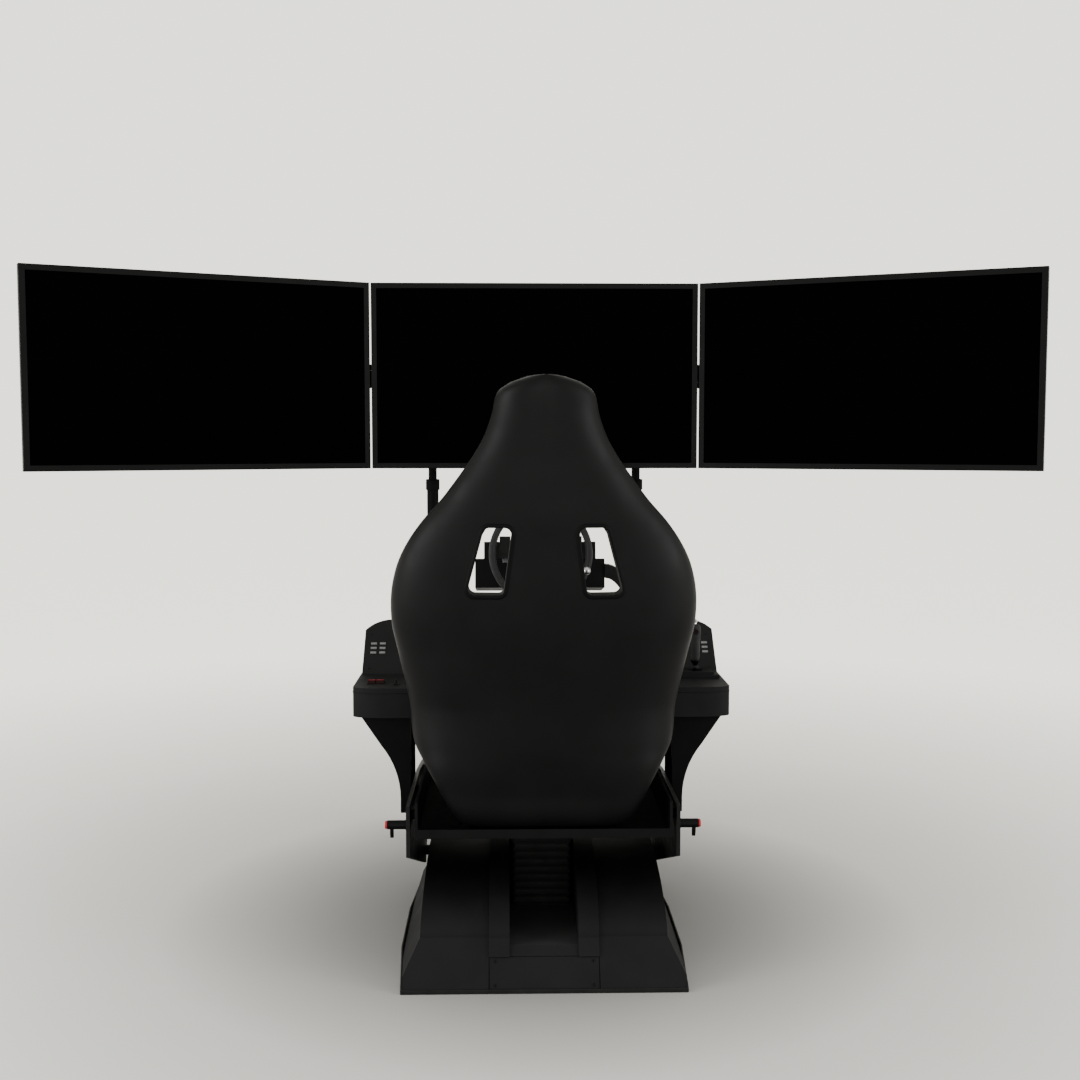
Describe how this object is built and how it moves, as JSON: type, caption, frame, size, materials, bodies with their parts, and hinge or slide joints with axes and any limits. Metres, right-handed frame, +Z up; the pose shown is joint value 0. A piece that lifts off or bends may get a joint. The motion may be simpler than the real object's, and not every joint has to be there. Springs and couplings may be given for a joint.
{
  "type": "flight simulator cockpit with joystick",
  "caption": "Flight simulator cockpit: side-stick joystick, bucket seat on a tilting frame, side consoles, steering wheel and three folding screens on a mast.",
  "frame": {"origin": "on the floor under the middle of the pedestal", "axes": "+X to the pilot's right, +Y the way the pilot faces, +Z up"},
  "size_m": [2.4972, 1.264, 1.5215],
  "materials": {
    "pedestal_plastic": "fine moulded grain, matte black",
    "black_rubber": "matte black",
    "black_steel": "satin black powder coat",
    "bare_steel": "bare, machined",
    "actuator_paint": "dark grey paint",
    "pedal_metal": "satin",
    "pedal_case": "matte black",
    "screen_case": "dark grey satin frame",
    "screen_panel": "black anti-glare screen, switched off",
    "console_plastic": "satin black moulding",
    "fascia_plastic": "matte black panel",
    "seat_shell": "soft matte black shell",
    "upholstery": "black, stitched",
    "lever_black": "black with a red end ring",
    "wheel_case": "matte black",
    "wheel_grip": "black leather rim, painted spokes",
    "paddle_metal": "brushed",
    "knob_metal": "polished",
    "grip_rubber": "soft-touch black",
    "red_plastic": "dark red",
    "switch_metal": "satin silver",
    "pale_key": "white"
  },
  "bodies": {
    "base": {"base_shell": "pedestal_plastic", "access_panel": "pedestal_plastic", "floor_skirt": "black_rubber", "base_frame": "bare_steel", "lift_actuator": "actuator_paint", "bellows": "black_rubber", "stand_frame": "black_steel", "post_sleeves": "black_steel", "pedal_box": "pedal_case"},
    "brake_pedal": {"brake_pedal": "pedal_metal"},
    "throttle_pedal": {"throttle_pedal": "pedal_metal"},
    "screen_mast": {"screen_mast": "black_steel", "centre_case": "screen_case", "centre_screen": "screen_panel"},
    "left_display": {"left_case": "screen_case", "left_screen": "screen_panel"},
    "right_display": {"right_case": "screen_case", "right_screen": "screen_panel"},
    "seat_frame": {"seat_tray": "black_steel", "side_plates": "black_steel", "left_arm": "black_steel", "right_arm": "black_steel", "wheel_column": "black_steel", "wheel_brace": "black_steel", "left_console": "console_plastic", "left_fascia": "fascia_plastic", "right_console": "console_plastic", "right_fascia": "fascia_plastic", "wheel_base": "wheel_case", "stick_plate": "console_plastic"},
    "seat": {"seat_shell": "seat_shell", "back_cushion": "upholstery", "seat_cushion": "upholstery", "seat_runners": "bare_steel"},
    "left_lever": {"left_lever": "lever_black"},
    "right_lever": {"right_lever": "lever_black"},
    "steering_wheel": {"wheel_rim": "wheel_grip"},
    "wheel_button": {"wheel_button": "pale_key"},
    "spinner_knob": {"spinner_knob": "knob_metal"},
    "left_paddle": {"left_paddle": "paddle_metal"},
    "right_paddle": {"right_paddle": "paddle_metal"},
    "gimbal": {"gimbal_ring": "bare_steel"},
    "stick": {"stick_shaft": "bare_steel", "grip_left": "grip_rubber", "grip_right": "grip_rubber"},
    "trigger": {"trigger": "red_plastic"},
    "hat_switch": {"hat_switch": "switch_metal"},
    "thumb_button": {"thumb_button": "red_plastic"},
    "rocker_left": {"rocker_left": "red_plastic"},
    "rocker_right": {"rocker_right": "red_plastic"},
    "toggle_switch": {"toggle_switch": "switch_metal"},
    "left_key_1": {"left_key_1": "pale_key"},
    "left_key_2": {"left_key_2": "pale_key"},
    "left_key_3": {"left_key_3": "pale_key"},
    "left_key_4": {"left_key_4": "pale_key"},
    "left_key_5": {"left_key_5": "pale_key"},
    "left_key_6": {"left_key_6": "pale_key"},
    "right_key_1": {"right_key_1": "pale_key"},
    "right_key_2": {"right_key_2": "pale_key"},
    "right_key_3": {"right_key_3": "pale_key"}
  },
  "joints": [
    {"name": "frame_tilt", "type": "hinge", "parent": "base", "child": "seat_frame", "pos_m": [0, 0.235, 0.112], "axis": [-1, 0, 0], "range_deg": [0, 8], "deforming": ["bellows"]},
    {"name": "seat_slide", "type": "slide", "parent": "seat_frame", "child": "seat", "axis": [0, 1, 0], "range_m": [0, 0.06]},
    {"name": "left_lever_pull", "type": "hinge", "parent": "seat_frame", "child": "left_lever", "pos_m": [-0.282, -0.226, 0.308], "axis": [-1, 0, 0], "range_deg": [0, 25], "stiffness_Nm_per_rad": 0.4},
    {"name": "right_lever_pull", "type": "hinge", "parent": "seat_frame", "child": "right_lever", "pos_m": [0.282, -0.226, 0.308], "axis": [-1, 0, 0], "range_deg": [0, 25], "stiffness_Nm_per_rad": 0.4},
    {"name": "mast_height", "type": "slide", "parent": "base", "child": "screen_mast", "axis": [0, 0, 1], "range_m": [0, 0.12]},
    {"name": "left_display_fold", "type": "hinge", "parent": "screen_mast", "child": "left_display", "pos_m": [-0.446, 0.705, 1.273], "axis": [0, 0, 1], "range_deg": [-25, 8]},
    {"name": "right_display_fold", "type": "hinge", "parent": "screen_mast", "child": "right_display", "pos_m": [0.446, 0.705, 1.273], "axis": [0, 0, -1], "range_deg": [-25, 8]},
    {"name": "brake_pedal_press", "type": "hinge", "parent": "base", "child": "brake_pedal", "pos_m": [-0.065, 0.655, 0.06], "axis": [-1, 0, 0], "range_deg": [0, 15], "stiffness_Nm_per_rad": 25},
    {"name": "throttle_pedal_press", "type": "hinge", "parent": "base", "child": "throttle_pedal", "pos_m": [0.065, 0.655, 0.06], "axis": [-1, 0, 0], "range_deg": [0, 15], "stiffness_Nm_per_rad": 12},
    {"name": "wheel_turn", "type": "hinge", "parent": "seat_frame", "child": "steering_wheel", "pos_m": [0.006, 0.258, 0.829], "axis": [0, -0.9848, 0.1736], "range_deg": [-135, 135]},
    {"name": "wheel_button_press", "type": "slide", "parent": "steering_wheel", "child": "wheel_button", "axis": [0, 0.9848, -0.1736], "range_m": [0, 0.002], "stiffness_N_per_m": 250},
    {"name": "spinner_knob_turn", "type": "hinge", "parent": "steering_wheel", "child": "spinner_knob", "pos_m": [0.11448, 0.23562, 0.78844], "axis": [0, -0.9848, 0.1736], "range_deg": [-180, 180]},
    {"name": "left_paddle_pull", "type": "hinge", "parent": "steering_wheel", "child": "left_paddle", "pos_m": [-0.032, 0.28164, 0.82483], "axis": [0, 0.1736, 0.9848], "range_deg": [0, 8], "stiffness_Nm_per_rad": 2},
    {"name": "right_paddle_pull", "type": "hinge", "parent": "steering_wheel", "child": "right_paddle", "pos_m": [0.044, 0.28164, 0.82483], "axis": [0, -0.1736, -0.9848], "range_deg": [0, 8], "stiffness_Nm_per_rad": 2},
    {"name": "stick_roll", "type": "hinge", "parent": "seat_frame", "child": "gimbal", "pos_m": [0.348, 0.028, 0.556], "axis": [0, 1, 0], "range_deg": [-15, 15], "stiffness_Nm_per_rad": 3},
    {"name": "stick_pitch", "type": "hinge", "parent": "gimbal", "child": "stick", "pos_m": [0.348, 0.028, 0.556], "axis": [1, 0, 0], "range_deg": [-15, 15], "stiffness_Nm_per_rad": 3},
    {"name": "trigger_pull", "type": "hinge", "parent": "stick", "child": "trigger", "pos_m": [0.348, 0.034, 0.667], "axis": [-1, 0, 0], "range_deg": [0, 12], "stiffness_Nm_per_rad": 0.5},
    {"name": "hat_tilt", "type": "hinge", "parent": "stick", "child": "hat_switch", "pos_m": [0.348, 0.028, 0.686], "axis": [1, 0, 0], "range_deg": [-12, 12], "stiffness_Nm_per_rad": 0.2},
    {"name": "thumb_button_press", "type": "slide", "parent": "stick", "child": "thumb_button", "axis": [0, 1, 0], "range_m": [0, 0.0015], "stiffness_N_per_m": 300},
    {"name": "rocker_left_rock", "type": "hinge", "parent": "seat_frame", "child": "rocker_left", "pos_m": [-0.3695, -0.05, 0.568], "axis": [1, 0, 0], "range_deg": [-8, 8]},
    {"name": "rocker_right_rock", "type": "hinge", "parent": "seat_frame", "child": "rocker_right", "pos_m": [-0.3515, -0.05, 0.568], "axis": [1, 0, 0], "range_deg": [-8, 8]},
    {"name": "toggle_flick", "type": "hinge", "parent": "seat_frame", "child": "toggle_switch", "pos_m": [-0.3155, -0.07, 0.569], "axis": [1, 0, 0], "range_deg": [-20, 20]},
    {"name": "left_key_1_press", "type": "slide", "parent": "seat_frame", "child": "left_key_1", "axis": [0, 0.7071, -0.7071], "range_m": [0, 0.0012], "stiffness_N_per_m": 250},
    {"name": "left_key_2_press", "type": "slide", "parent": "seat_frame", "child": "left_key_2", "axis": [0, 0.7071, -0.7071], "range_m": [0, 0.0012], "stiffness_N_per_m": 250},
    {"name": "left_key_3_press", "type": "slide", "parent": "seat_frame", "child": "left_key_3", "axis": [0, 0.7071, -0.7071], "range_m": [0, 0.0012], "stiffness_N_per_m": 250},
    {"name": "left_key_4_press", "type": "slide", "parent": "seat_frame", "child": "left_key_4", "axis": [0, 0.7071, -0.7071], "range_m": [0, 0.0012], "stiffness_N_per_m": 250},
    {"name": "left_key_5_press", "type": "slide", "parent": "seat_frame", "child": "left_key_5", "axis": [0, 0.7071, -0.7071], "range_m": [0, 0.0012], "stiffness_N_per_m": 250},
    {"name": "left_key_6_press", "type": "slide", "parent": "seat_frame", "child": "left_key_6", "axis": [0, 0.7071, -0.7071], "range_m": [0, 0.0012], "stiffness_N_per_m": 250},
    {"name": "right_key_1_press", "type": "slide", "parent": "seat_frame", "child": "right_key_1", "axis": [0, 0.7071, -0.7071], "range_m": [0, 0.0012], "stiffness_N_per_m": 250},
    {"name": "right_key_2_press", "type": "slide", "parent": "seat_frame", "child": "right_key_2", "axis": [0, 0.7071, -0.7071], "range_m": [0, 0.0012], "stiffness_N_per_m": 250},
    {"name": "right_key_3_press", "type": "slide", "parent": "seat_frame", "child": "right_key_3", "axis": [0, 0.7071, -0.7071], "range_m": [0, 0.0012], "stiffness_N_per_m": 250}
  ]
}
